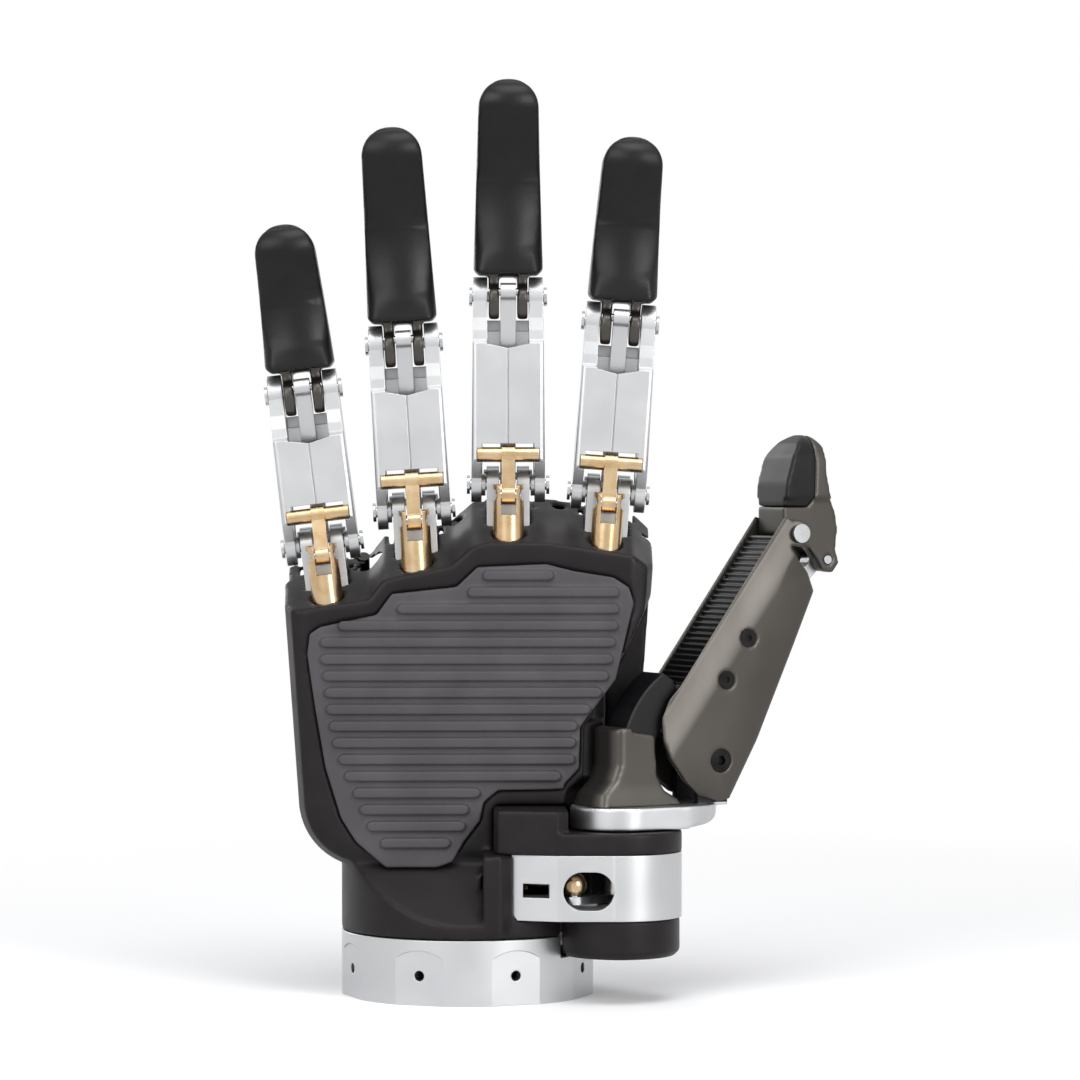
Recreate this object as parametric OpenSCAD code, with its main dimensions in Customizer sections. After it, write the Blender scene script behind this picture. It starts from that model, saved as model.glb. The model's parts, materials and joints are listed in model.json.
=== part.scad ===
// Dexterous robot hand, right hand, four fingers and a thumb.
// +Z runs along the fingers, the palm faces -Y and the thumb is on the +X side.
// The origin is the centre of the wrist face. All sizes are in millimetres.

/* [Palm] */
// Half width of the palm level with its lower corners
palm_low_half = 39.3; // [37:0.1:41]
// Half width of the palm below the fingers
palm_top_half = 44; // [42:0.1:46]
// Radius of the lower corners of the palm
palm_corner = 16; // [12:0.5:18]
// Distance of the palm's front face from the knuckle plane
palm_front = 15.2; // [14:0.1:17]
// Distance of the palm's back face from the knuckle plane
palm_back = 16; // [15:0.1:18]
// Slope of the deck that the knuckles stand on, in degrees
deck_tilt = 21; // [15:0.5:25]
// Number of grip ribs across the palm
palm_ribs = 17; // [5:1:17]

/* [Wrist] */
// Outer radius of the wrist ring
wrist_radius = 29.5; // [28:0.1:31]
// Inner radius of the wrist socket
wrist_bore = 26.5; // [25:0.1:27]
// Height of the wrist ring
wrist_height = 15; // [13:0.5:18]
// Number of screws round the wrist ring
wrist_screws = 8; // [4:4:8]

/* [Fingers] */
// Place of the four knuckles across the palm: index, middle, ring, little
knuckle_x = [33, 9.5, -12.5, -34]; // [-36:0.5:36]
// Height of the four knuckles over the wrist face
knuckle_z = [117, 119, 113, 105]; // [100:0.5:122]
// Outward lean of the four fingers, in degrees
splay = [4, 0, -3.5, -7]; // [-8:0.5:8]
// Distance from knuckle to middle joint of the four fingers
proximal_length = [40, 44, 39, 36]; // [34:0.5:48]
// Distance from middle joint to fingertip of the four fingers
distal_length = [43, 50, 50, 39]; // [36:0.5:54]
// Width of a finger at its knuckle
knuckle_width = 17.3; // [16:0.1:18]
// Width of a finger at its middle joint
middle_width = 16.2; // [15:0.1:17]
// Bend of the fingertip towards the palm, in degrees
tip_bend = 32; // [20:1:40]
// Radius of the brass push rods
rod_radius = 3.6; // [3:0.1:3.8]

/* [Thumb] */
// Place of the thumb's upright axis on the palm
thumb_axis = [35, -16]; // [-18:0.5:36]
// Turn of the thumb's plane away from the palm plane, in degrees
thumb_turn = 27; // [20:0.5:30]
// Radius of the silver base housing
thumb_base_radius = 14.5; // [14:0.1:15]
// Width of the thumb across its plane
thumb_width = 17; // [16:0.1:18]

/* [Hidden] */
FINGERS = ["index", "middle", "ring", "little"];
$fn = 48;

// Gap between a pin and its hole, and between pieces that pass each other
fit = 0.05;
gap = 0.3;

// Colours of the finishes
black_shell = "#262422";
gunmetal = "#55524c";
silver = "#b8b9b8";
brass = "#c99a4b";
steel = "#d0d2d4";
rubber = "#1d1e20";

// Deck level half way through the palm, and the top edge of the back cover
deck_line = [[-46, 94], [-23, 97.4], [-19.5, 102], [-4, 105.2], [1.2, 109.8],
    [4.5, 110.6], [18.5, 110.6], [29, 109], [38.5, 107.6], [43, 103.5], [46, 98]];
cover_line = [[-46, 93.2], [-28.6, 97], [-21, 102.7], [-6.4, 105], [2, 110.2],
    [17, 110.8], [40, 107.8], [46, 103.5]];
deck_middle = -1.6;     // y at which deck_line is given
parting = 3;            // y at which frame and back cover meet
band_back = 12;         // y of the frame's band above the cover
chamfer_fall = 4.3;     // fall of the cover's top chamfer
cover_wall = 3;
neck_top = 37;          // where the round neck starts to narrow
ridge_top = 69;         // where the ridge ends in the flat back
cavity_front = -4.5;
motor_y = 3;
motor_shift = [-6, 0, 0, 0];    // sideways from the knuckle, clear of the thumb's recess
motor_length = [24, 44, 44, 38];
ceiling = 140;          // a height above everything in the palm

// Finger cross-section: palm side, back side, and plate thicknesses
finger_front = -7.2;
finger_back = 6.8;
side_wall = 2.45;
front_wall = 1.8;
back_wall = 2;
lug_radius = 4.1;       // rounding of the knuckle end
middle_lug = 4.6;       // rounding of the middle joint end
pin_radius = 1.25;
small_pin = 0.9;
head_radius = 2.2;
head_height = 0.7;
bracket_half = 5;       // half width of the knuckle bracket
bracket_gap = 2.1;      // half width of its slot
link_half = 1.8;        // half width of the coupler link
tine_gap = 2.1;         // half gap between the tines of the distal piece
neck_half = 4.55;       // half width of the distal piece inside the joint
coupler_base = [4, 2];  // coupler pivot on the bracket, from the knuckle axle
coupler_tip = [-4, 1];  // coupler pivot on the distal piece, from its axle
coupler_play = 1.95;    // length of the coupler's slot
stem_half = 1.55;       // half width of the brass stem
crossbar = [-6.2, 7];   // drive pivot on the proximal piece, from the axle
fork_pin = [-8.4, -2.5];// fork pin at rest, from the knuckle axle
rod_y = -9.3;           // push rod axis
rod_bottom = -28;
rod_travel = 12.6;
crossbar_radius = 1.75;
window_top = 9.6;       // top of the front window over the knuckle
back_window_top = 12.7;
tip_radius = 5.2;
shell_base = 5;         // start of the fingertip shell over the middle joint

// Thumb: heights of the stack, and points in its plane (out, up)
cap_z = 10.5;
housing_z = 19.5;
cover_z = 34.5;
yoke_z = 39.8;
yoke_top = 45;
ball_angle = 217;
ball_reach = 13.2;
ball_z = 26.4;
rod_span = 16;
rod_heading = 141;
thumb_pivot = [22.5, 55.1];
thumb_knuckle = [43.7, 107.6];
thumb_link_base = [13.5, 63.1];
thumb_link_tip = [52.9, 101.3];
thumb_half = thumb_width / 2;
cheek_in = 3.6;
cheek_out = 6.2;
drum_radius = 24.5;

// ---------- shared shapes ----------

// A profile given in (y, z), drawn out along X
module along_x(x0, x1) {
    translate([x0, 0, 0]) rotate([90, 0, 90]) linear_extrude(x1 - x0) children();
}

// A profile given in (x, z), drawn out along Y
module along_y(y0, y1) {
    translate([0, y1, 0]) rotate([90, 0, 0]) linear_extrude(y1 - y0) children();
}

// A round pin along X at a point (y, z)
module cross_pin(at, radius, x0, x1) {
    translate([x0, at[0], at[1]]) rotate([0, 90, 0]) cylinder(h = x1 - x0, r = radius);
}

// A rectangle with its front corners and back corners rounded apart
module rounded_section(half, front, back, front_round, back_round) {
    translate([-half, front + front_round]) square([2 * half, back - front - front_round - back_round]);
    translate([-half + front_round, front]) square([2 * (half - front_round), front_round + 1]);
    translate([-half + back_round, back - back_round - 1]) square([2 * (half - back_round), back_round + 1]);
    for (side = [-1, 1]) {
        translate([side * (half - front_round), front + front_round]) circle(front_round);
        translate([side * (half - back_round), back - back_round]) circle(back_round);
    }
}

// A straight bar with round ends between two points
module bar(a, b, radius) {
    angle = atan2(b[1] - a[1], b[0] - a[0]);
    span = norm(b - a);
    translate(a) circle(radius);
    translate(b) circle(radius);
    translate(a) rotate(angle) translate([0, -radius]) square([span, 2 * radius]);
}

// Points of an arc, used where an outline needs a curve
function arc(centre, radius, from, to, steps) =
    [for (k = [0:steps]) let (a = from + (to - from) * k / steps)
        [centre[0] + radius * cos(a), centre[1] + radius * sin(a)]];

// ---------- palm ----------

// The palm's outline seen from the front, drawn in from its edge
module palm_outline(inset) {
    low = palm_low_half - inset;
    top = palm_top_half - inset;
    corner = palm_corner - inset;
    corner_x = palm_low_half - palm_corner;
    polygon([[-low, 46], [low, 46], [top, 112], [top, 120 - inset], [-top, 120 - inset], [-top, 112]]);
    translate([-corner_x, 46 - corner]) square([2 * corner_x, corner]);
    for (side = [-1, 1]) translate([side * corner_x, 46]) circle(corner);
}

// Everything above the sloping deck
module above_deck() {
    points = [for (p = deck_line) [p[0], p[1] * cos(deck_tilt)]];
    translate([0, deck_middle, 0]) rotate([deck_tilt, 0, 0])
        along_y(-10, 90) polygon(concat([[-60, ceiling]], [[-60, points[0][1]]], points,
            [[60, points[len(points) - 1][1]]], [[60, ceiling]]));
}

// Everything above the cover's top edge, flat or falling towards the back
module above_cover(tilt) {
    points = [for (p = cover_line) [p[0], p[1] * cos(tilt)]];
    translate([0, band_back, 0]) rotate([-tilt, 0, 0])
        along_y(-120, 40) polygon(concat([[-60, ceiling]], [[-60, points[0][1]]], points,
            [[60, points[len(points) - 1][1]]], [[60, ceiling]]));
}

// The round neck, narrowing into the ridge on the back of the hand
module neck(radius, bottom, straight_top, top, top_radius) {
    translate([0, 0, bottom]) cylinder(h = straight_top - bottom, r = radius);
    translate([0, 0, straight_top]) cylinder(h = top - straight_top, r1 = radius, r2 = top_radius);
}

// The space in front of the sloping chin between palm and wrist
module chin_space() {
    translate([0, -palm_front, 30.5]) rotate([41, 0, 0]) translate([-60, -80, 0]) cube([120, 160, 80]);
}

// The half space in front of, or behind, the parting plane
module front_half(edge) {
    translate([-70, edge - 100, -10]) cube([140, 100, 180]);
}

module at_knuckle(i) {
    translate([knuckle_x[i], 0, knuckle_z[i]]) rotate([0, splay[i], 0]) children();
}

// The outline of the thumb housing, seen from above
module thumb_base_outline() {
    radius = thumb_base_radius;
    translate(thumb_axis) circle(radius);
    polygon([[10, -26.5], [20.5, -30.2], [33, -30.5], [36.5, -30.2], [38, -4], [35, -1.7], [10, -14]]);
}

// The room in which the thumb's crank and pull rod swing
module crank_room() {
    translate([0, 0, 22.6]) linear_extrude(7.7) intersection() {
        translate(thumb_axis) circle(ball_reach + 3.5);
        translate([18, -28]) square([17, 32]);
    }
    translate([3.4, -21, 23.6]) cube([20, 18, 5.8]);
}

// The recess beside the palm in which the thumb turns
module thumb_recess() {
    translate([thumb_axis[0], thumb_axis[1], 0]) {
        rotate_extrude() polygon([[0, cover_z], [12.6, cover_z], [12.6, 46], [11.9, 48.5], [8.4, 51.5],
            [8.2, 63.5], [6.3, 65], [6.3, 70], [2, 78], [0, 78]]);
        // Wider beside the palm, where the thumb's shell turns
        intersection() {
            translate([-0.5, -20, cover_z]) cube([30, 40, 50]);
            rotate_extrude() polygon([[0, cover_z], [12.2, cover_z], [12.2, 68], [4, 80], [0, 80]]);
        }
    }
    // Room beside the palm for the thumb's shell as it flexes
    across_thumb(-9, thumb_half + 0.4) polygon([[8, 46], [30, 46], [30, 100], [15.4, 100], [9.7, 80],
        [8.4, 77.5], [5.6, 74.5], [3.4, 71.5], [3, 68], [4.3, 64.5], [4.3, 58], [6, 52]]);
    // Step in the side wall behind the thumb's shell
    along_y(-17, 0) polygon([[33, 46], [60, 46], [60, 93], [42.6, 93], [36, 79], [33.2, 75],
        [32, 72], [32, 60]]);
    // Seat of the thumb's plate
    at_thumb() translate([0, 0, cover_z]) linear_extrude(yoke_top + 2 - cover_z) {
        bar([0, 0], [12, 0], 11.9);
        bar([0, 0], [15.5, 0], 9.6);
    }
}

// Bores, pockets and grooves that one finger needs in the frame
module finger_cuts(i) {
    at_knuckle(i) {
        translate([0, rod_y, -41]) cylinder(h = 60, r = rod_radius + 0.08);
        translate([motor_shift[i], motor_y, -27 - motor_length[i]]) cylinder(h = motor_length[i] + 4, r = 7.1);
        translate([-bracket_half, -3.8, -14]) cube([2 * bracket_half, 10.4, 30]);
        for (side = [-1, 1]) translate([side * (bracket_half + 0.9) - 0.6, 6, -10]) cube([1.2, 9, 12]);
    }
}

module palm_frame() {
    color(black_shell) difference() {
        union() {
            hull() {
                along_y(-9, parting) palm_outline(0);
                along_y(-palm_front + 1.4, -9) palm_outline(1.6);
                along_y(-palm_front, -9) palm_outline(5);
            }
            intersection() {
                along_y(parting, band_back) palm_outline(0.8);
                above_cover(0);
            }
            difference() {
                neck(wrist_radius, wrist_height, 46, 46.1, 20);
                chin_space();
                translate([-70, parting, -10]) cube([140, 100, 180]);
            }
            // Guard rib beside the thumb housing
            translate([0, 0, wrist_height + 1]) linear_extrude(cover_z - wrist_height - 1)
                polygon([[3.5, -29.4], [7.4, -30.2], [10.6, -27], [10.6, -16], [3.5, -16]]);
        }
        above_deck();
        for (i = [0:3]) finger_cuts(i);
        // Recess for the rubber pad
        along_y(-palm_front - 1, -palm_front + 1) pad_outline(0);
        // Room for the drives, open towards the back cover
        along_y(cavity_front, parting + 1) cavity_outline();
        translate([-14, -12, wrist_height - 1]) cube([34, 16, 30]);
        translate([-14, -6, wrist_height + 2]) cylinder(h = 27, r = 6);
        // Seat of the thumb housing, and the space in which the thumb turns
        translate([0, 0, housing_z]) linear_extrude(cover_z - housing_z + 5) thumb_base_outline();
        translate([0, 0, cover_z]) linear_extrude(yoke_top - cover_z) base_block_outline();
        translate([thumb_axis[0], thumb_axis[1], cap_z]) cylinder(h = 10, r = 14.1);
        crank_room();
        thumb_recess();
        for (p = cover_screw_places) cover_screw_hole(p);
    }
}

// The outline of the drive room in the palm
module cavity_outline() {
    polygon([[-35, 50], [-28, 40], [20, 40], [20, 72], [32, 76], [33.5, 80], [39, 90], [38, 94],
        [6, 96], [-4, 90], [-20, 87], [-39, 80]]);
}

module back_cover() {
    color(gunmetal) difference() {
        union() {
            hull() {
                along_y(parting, 7) palm_outline(0);
                along_y(7, 11.5) palm_outline(1.8);
                along_y(7, 14.4) palm_outline(4.4);
                along_y(7, palm_back) palm_outline(8);
            }
            neck(wrist_radius, wrist_height, neck_top, ridge_top, palm_back - 1);
            // Tab over the connector
            intersection() {
                translate([-6.4, 0, 10.4]) cube([12.8, 40, 6]);
                cylinder(h = 30, r = wrist_radius);
            }
        }
        front_half(parting);
        above_cover(0);
        above_cover(47);
        hull() {
            along_y(parting - 1, 9) palm_outline(cover_wall);
            along_y(parting - 1, palm_back - cover_wall) palm_outline(9);
        }
        neck(wrist_bore - 1.5, wrist_height - 8, neck_top - 2, ridge_top - 4, palm_back - 5);
        // Seat on the wrist ring, set back from the socket's wall
        cylinder(h = wrist_height, r = wrist_bore + 0.6);
        for (p = cover_screw_places) cover_screw_hole(p);
    }
    // Posts that carry the control board
    color(gunmetal) for (x = [-14, 14]) for (z = [79, 91])
        translate([x, 12, z]) rotate([-90, 0, 0]) cylinder(h = palm_back - cover_wall - 11.9, r = 2);
}

// Cover screws: x, z and the side they are driven from
cover_screw_places = [[21.4, 107.6], [-2.4, 105], [-24.6, 97.6]];

module on_chamfer(p) {
    translate([p[0], band_back + 1.9, p[1]]) rotate([-47, 0, 0]) rotate([-90, 0, 0]) children();
}

module cover_screw_hole(p) {
    on_chamfer(p) {
        translate([0, 0, -9]) cylinder(h = 20, r = 1.5);
        translate([0, 0, -0.4]) cylinder(h = 8, r = 2.3);
    }
}

module cover_screws() {
    color(steel) {
        for (p = cover_screw_places) on_chamfer(p) difference() {
            union() {
                translate([0, 0, -6]) cylinder(h = 6, r = 1.4);
                translate([0, 0, -0.4]) cylinder(h = 1, r = 2.2);
            }
            cylinder(h = 2, r = 0.9, $fn = 6);
        }
    }
}

// The rubber pad's outline on the front of the palm
module pad_outline(inset) {
    polygon([[-34.2 + inset, 86.4 - inset], [-21, 89.2 - inset], [-17.5, 94 - inset], [-2.6, 95.6 - inset],
        [2.3, 100.2 - inset], [18.2, 100.9 - inset], [24.5, 99.3 - inset], [33.7, 97.8 - inset],
        [37.5 - inset, 95.5 - inset], [38.6 - inset, 91.7], [34.4 - inset, 74], [28.4 - inset, 66], [26.2 - inset, 63],
        [26 - inset, 53.5], [22.6 - inset, 50], [22.4 - inset, 48.5 + inset], [7, 48.2 + inset], [3.7, 45.5 + inset],
        [3 - inset, 41.3], [-0.7 - inset, 36.5], [-3.5, 31.7 + inset], [-7, 30.4 + inset],
        [-18.9, 30.4 + inset], [-25.9 + inset, 36.5], [-29.4 + inset, 42], [-33 + inset, 53.7],
        [-35.4 + inset, 67.6], [-37.2 + inset, 80], [-36.6 + inset, 84.6]]);
}

// Left and right end of each rib, from the top down
rib_ends = [[3.5, 19.9], [0, 35], [-16.2, 35], [-29.8, 34.8], [-34, 34.2], [-34, 33.6], [-33.5, 32.6],
    [-33, 31], [-32.6, 28.4], [-31.9, 25.4], [-31.2, 25], [-29.8, 24.8], [-28.4, 21.6], [-26.5, 2.9],
    [-24.9, 0.3], [-23.2, -0.5], [-20.2, -4]];
rib_pitch = 3.86;

module palm_pad() {
    color(rubber) {
        along_y(-palm_front - 1, -palm_front + 1) pad_outline(0.2);
        for (k = [0:palm_ribs - 1]) {
            z = 98.1 - rib_pitch * k;
            along_y(-palm_front - 2, -palm_front - 0.9)
                bar([rib_ends[k][0] + 1.1, z], [rib_ends[k][1] - 1.1, z], 1.1);
        }
    }
}

module finger_actuators() {
    color("#3a3c40") for (i = [0:3]) at_knuckle(i) translate([motor_shift[i], motor_y, 0]) {
        translate([0, 0, -26 - motor_length[i]]) cylinder(h = motor_length[i], r = 6);
        translate([0, 0, -32]) cylinder(h = 6, r = 6.8);
        translate([0, 0, -27]) cylinder(h = 3, r = 3);
    }
}

module thumb_actuator() {
    color("#3a3c40") translate([-14, -6, wrist_height + 2]) {
        cylinder(h = 20, r = 6);
        translate([0, 0, 20]) cylinder(h = 3, r = 3);
    }
}

module control_board() {
    color("#1f5a3c") translate([-17, 10.6, 76]) cube([34, 1.4, 18]);
    color("#222222") translate([-6, 9.6, 80]) cube([12, 1.1, 9]);
}

// ---------- wrist ----------

module wrist_ring() {
    color(silver) difference() {
        cylinder(h = wrist_height, r = wrist_radius);
        translate([0, 0, -1]) cylinder(h = wrist_height - 2, r = wrist_bore);
        cylinder(h = wrist_height + 1, r = 16);
        // Window for the connector and the cover's tab
        translate([-6.5, 15, 5.6]) cube([13, 20, 10]);
        for (k = [0:wrist_screws - 1]) rotate(360 / wrist_screws * (k + 0.5)) {
            translate([0, 0, 6.8]) rotate([0, 90, 0]) cylinder(h = 40, r = 1.2);
            // Flat for the screw head, with a curved top
            intersection() {
                translate([wrist_radius - 0.6, -10, -1]) cube([5, 20, 14]);
                translate([0, 0, 2.6]) rotate([0, 90, 0]) cylinder(h = 60, r = 10);
            }
        }
        translate([thumb_axis[0], thumb_axis[1], cap_z - gap]) cylinder(h = 10, r = 14.3);
    }
}

module connector_housing() {
    color("#1b1b1c") difference() {
        intersection() {
            translate([-6.4, wrist_bore + 0.5, 5.7]) cube([12.8, 10, 4.6]);
            cylinder(h = 20, r = wrist_radius - 0.9);
        }
        // Pockets round the contacts
        translate([-5.8, 27.6, 6.3]) cube([8.4, 4, 3.4]);
        translate([3.3, 27.6, 6.3]) cube([2.5, 4, 3.4]);
    }
}

module connector_contacts() {
    color(brass) {
        for (x = [-3.6, 0.8]) translate([x, 27.6, 8]) rotate([-90, 0, 0]) cylinder(h = 0.8, r = 1.35);
        for (z = [7.1, 8.9]) translate([4.6, 27.6, z]) rotate([-90, 0, 0]) cylinder(h = 0.8, r = 0.5);
    }
}

// ---------- fingers ----------

// The bracket that carries a finger: base, two lugs and two ears
module knuckle_bracket() {
    difference() {
        along_x(-bracket_half, bracket_half) {
            translate([-3.8, -14]) square([10.4, 13]);
            translate([-3.8, -1]) square([7.6, 1]);
            circle(3.8);
            bar([3.2, -2], coupler_base, 2.4);
        }
        // Slot for the links
        translate([-bracket_gap, -6, -4.6]) cube([2 * bracket_gap, 20, 20]);
        translate([-bracket_gap, -6, -4.7]) cube([2 * bracket_gap, 9, 1]);
        cross_pin([0, 0], pin_radius, -9, 9);
        cross_pin(coupler_base, small_pin, -9, 9);
    }
    // Plate that closes the back of the slot
    translate([-bracket_gap - 0.1, 4.6, -4.8]) cube([2 * bracket_gap + 0.2, 2, 3.6]);
}

module knuckle_brackets() {
    color(silver) for (i = [0:3]) at_knuckle(i) knuckle_bracket();
}

// Two stub axles and one coupler pin at each knuckle
module knuckle_pins() {
    color(steel) for (i = [0:3]) at_knuckle(i) {
        for (side = [0, 1]) mirror([side, 0, 0]) {
            cross_pin([0, 0], pin_radius, bracket_gap, knuckle_width / 2 + gap);
            cross_pin([0, 0], head_radius, knuckle_width / 2 + gap, knuckle_width / 2 + gap + head_height);
        }
        cross_pin(coupler_base, small_pin, -bracket_half, bracket_half);
        cross_pin(coupler_base, 1.6, bracket_half, bracket_half + head_height);
        cross_pin(coupler_base, 1.6, -bracket_half - head_height, -bracket_half);
    }
}

// Side view of a proximal piece
module proximal_side(length) {
    circle(lug_radius);
    translate([0, length]) circle(middle_lug);
    polygon([[-3.9, -1], [3.9, -1], [finger_back, 4.5], [finger_back, length - 4], [4.4, length + 1],
        [-4.4, length + 1], [-4.6, length - 5], [-5.4, length - 8], [-5.6, length - 10.2],
        [finger_front, length - 11], [finger_front, 6], [-4.2, 1.5]]);
}

module proximal_front(length) {
    polygon([[-knuckle_width / 2, -6], [knuckle_width / 2, -6],
        [middle_width / 2, length + 6], [-middle_width / 2, length + 6]]);
}

module proximal(i) {
    length = proximal_length[i];
    inside = knuckle_width / 2 - side_wall;
    joint_half = neck_half + gap;
    color(silver) at_knuckle(i) difference() {
        intersection() {
            along_y(-12, 12) proximal_front(length);
            translate([0, 0, -8]) linear_extrude(length + 16)
                rounded_section(knuckle_width / 2, finger_front, finger_back, 1.3, 3.2);
            along_x(-10, 10) proximal_side(length);
        }
        // Channel for the links, leaving a boss on each side of the bracket
        difference() {
            translate([-inside, finger_front + front_wall, -8])
                cube([2 * inside, finger_back - finger_front - front_wall - back_wall, length - 4]);
            for (side = [0, 1]) mirror([side, 0, 0]) cross_pin([0, 0], 2.6, bracket_half + gap, inside + 1);
        }
        // Channel at the middle joint
        translate([-joint_half, finger_front - 1, length - 8]) cube([2 * joint_half, 12.6, 20]);
        translate([-joint_half, finger_front + front_wall, length - 16]) cube([2 * joint_half, 7, 20]);
        along_y(finger_front - 1, 0) polygon([[-joint_half, length], [-joint_half, length - 11.2], [0, length - 12.2],
            [joint_half, length - 11.2], [joint_half, length]]);
        // Notch in the back at the middle joint
        translate([-joint_half, 2, length - 5.4]) cube([2 * joint_half, 8, 20]);
        // Front and back windows
        translate([-inside, finger_front - 1, -8]) cube([2 * inside, 4, window_top + 8]);
        translate([-6, 3, -8]) cube([12, 8, back_window_top + 8]);
        // Axle holes, crossbar seats, and the slot in each side
        cross_pin([0, 0], pin_radius + fit, -12, 12);
        cross_pin([0, length], pin_radius + fit, -12, 12);
        cross_pin(crossbar, crossbar_radius + fit, -inside - 1.1, inside + 1.1);
        along_x(-12, 12) bar([3.4, 6.5], [3.4, 15], 0.55);
        // Seam down the middle of the front plate
        translate([-0.15, finger_front - 1, 0]) cube([0.3, 1.35, length]);
    }
}

// The link that couples the middle joint to the knuckle
module coupler_link(i) {
    base = coupler_base;
    tip = [coupler_tip[0], proximal_length[i] + coupler_tip[1]];
    color(silver) at_knuckle(i) difference() {
        along_x(-link_half, link_half) {
            bar(base, tip, 1.45);
            translate(base) circle(1.95);
            bar(tip, tip - [coupler_play, 0], 2);
        }
        cross_pin(base, small_pin + fit, -5, 5);
        along_x(-5, 5) bar(tip + [0, 0.17], tip - [coupler_play, -0.17], small_pin + 0.32);
    }
}

// The brass crossbar and stem that pull the finger
module drive_link(i) {
    inside = knuckle_width / 2 - side_wall;
    color(brass) at_knuckle(i) difference() {
        union() {
            cross_pin(crossbar, crossbar_radius, -inside - 1, inside + 1);
            along_x(-stem_half, stem_half) {
                bar(crossbar, fork_pin, 1.5);
                translate(fork_pin) circle(2);
                translate(crossbar) circle(2.1);
            }
        }
        cross_pin(fork_pin, 1, -5, 5);
    }
}

module drive_pin(i) {
    color(steel) at_knuckle(i) cross_pin(fork_pin, 1, -2.9, 2.9);
}

// The brass rod, ending in a fork with slotted eyes
module push_rod(i) {
    color(brass) at_knuckle(i) difference() {
        intersection() {
            translate([0, rod_y, rod_bottom]) cylinder(h = -rod_bottom + 0.2, r = rod_radius);
            along_x(-5, 5) {
                translate([rod_y - 5, rod_bottom]) square([10, -rod_bottom - 2.4]);
                bar([rod_y - 1, fork_pin[1] + 0.15], [rod_y + 1, fork_pin[1] + 0.15], 2.5);
            }
        }
        translate([-stem_half - gap, rod_y - 6, -7]) cube([2 * (stem_half + gap), 12, 20]);
        along_x(-5, 5) bar([rod_y - 1.15, fork_pin[1] + 0.15], [rod_y + 1.15, fork_pin[1] + 0.15], 1.35);
    }
}

// ---------- fingertips ----------

// Place of the bend, and length of the straight part beyond it
function bend_z(tip) = 0.552 * tip;
function tip_reach(tip) = (tip - bend_z(tip) - tip_radius) / cos(tip_bend);
function tip_centre(tip) = [-tip_reach(tip) * sin(tip_bend), bend_z(tip) + tip_reach(tip) * cos(tip_bend)];

// Side view of a fingertip, palm side towards -Y
module tip_side(tip) {
    bend = bend_z(tip);
    centre = tip_centre(tip);
    out = [cos(tip_bend), sin(tip_bend)];
    translate(centre) circle(tip_radius);
    polygon([[-7.3, shell_base], [6, shell_base], [6.9, shell_base + 1], [6, bend - 1], [5.7, bend + 1.6],
        centre + tip_radius * out, centre - tip_radius * out, [-5.6, bend - 1], [-7.4, shell_base + 5]]);
}

module tip_front(tip) {
    end_half = 7;
    base = middle_width / 2;
    round_z = tip - end_half;
    translate([0, round_z]) circle(end_half);
    polygon([[-base + 1.2, shell_base], [base - 1.2, shell_base], [base, shell_base + 1.2],
        [end_half, round_z], [-end_half, round_z], [-base, shell_base + 1.2]]);
}

// The whole rounded body of a fingertip, shell and pad together
module tip_body(tip) {
    half = middle_width / 2;
    intersection() {
        along_x(-10, 10) tip_side(tip);
        along_y(-40, 12) tip_front(tip);
        union() {
            linear_extrude(bend_z(tip)) rounded_section(half, -7.6, 6.8, 3.2, 5);
            translate([0, 0, bend_z(tip)]) rotate([tip_bend, 0, 0]) translate([0, 0, -5])
                linear_extrude(40) rounded_section(half, -6, 5.8, 3.2, 5);
        }
    }
}

// The part of a fingertip taken by the rubber pad
module pad_region(tip) {
    bend = bend_z(tip);
    centre = tip_centre(tip);
    along_x(-12, 12) polygon([[-30, shell_base - 1], [-3.4, shell_base - 1], [-3.4, shell_base + 4],
        [-2, bend], centre + [-1.2, 0], centre + [-4.6, 9], [-30, 70]]);
}

module at_middle_joint(i) {
    at_knuckle(i) translate([0, 0, proximal_length[i]]) children();
}

// Slot in the fingertip's base in which the coupler link turns
module link_slot() {
    translate([-tine_gap, -7, -8]) cube([2 * tine_gap, 20, 12.6]);
    along_x(-tine_gap, tine_gap) translate([-4, 2]) circle(4.3);
}

module distal_shell(i) {
    tip = distal_length[i];
    color(gunmetal) at_middle_joint(i) difference() {
        union() {
            difference() {
                tip_body(tip);
                pad_region(tip);
            }
            // Neck and tines inside the joint
            along_x(-neck_half, neck_half) {
                circle(4.2);
                translate([-3, 0]) square([8, shell_base + 2]);
                bar([-3.4, -0.4], [-2.6, -2.6], 2.8);
            }
        }
        link_slot();
        cross_pin([0, 0], pin_radius, -9, 9);
        cross_pin(coupler_tip, small_pin, -9, 9);
    }
}

module fingertip_pad(i) {
    tip = distal_length[i];
    color(rubber) at_middle_joint(i) difference() {
        intersection() {
            tip_body(tip);
            pad_region(tip);
        }
        link_slot();
    }
}

// The middle joint's two stub axles, fixed in the fingertip, and the coupler's pin
module joint_pins(i) {
    head_x = middle_width / 2 + gap;
    color(steel) at_middle_joint(i) {
        for (side = [0, 1]) mirror([side, 0, 0]) {
            cross_pin([0, 0], pin_radius, tine_gap, head_x);
            cross_pin([0, 0], head_radius, head_x, head_x + head_height);
        }
        cross_pin(coupler_tip, small_pin, -neck_half, neck_half);
    }
}

// ---------- thumb base ----------

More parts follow.
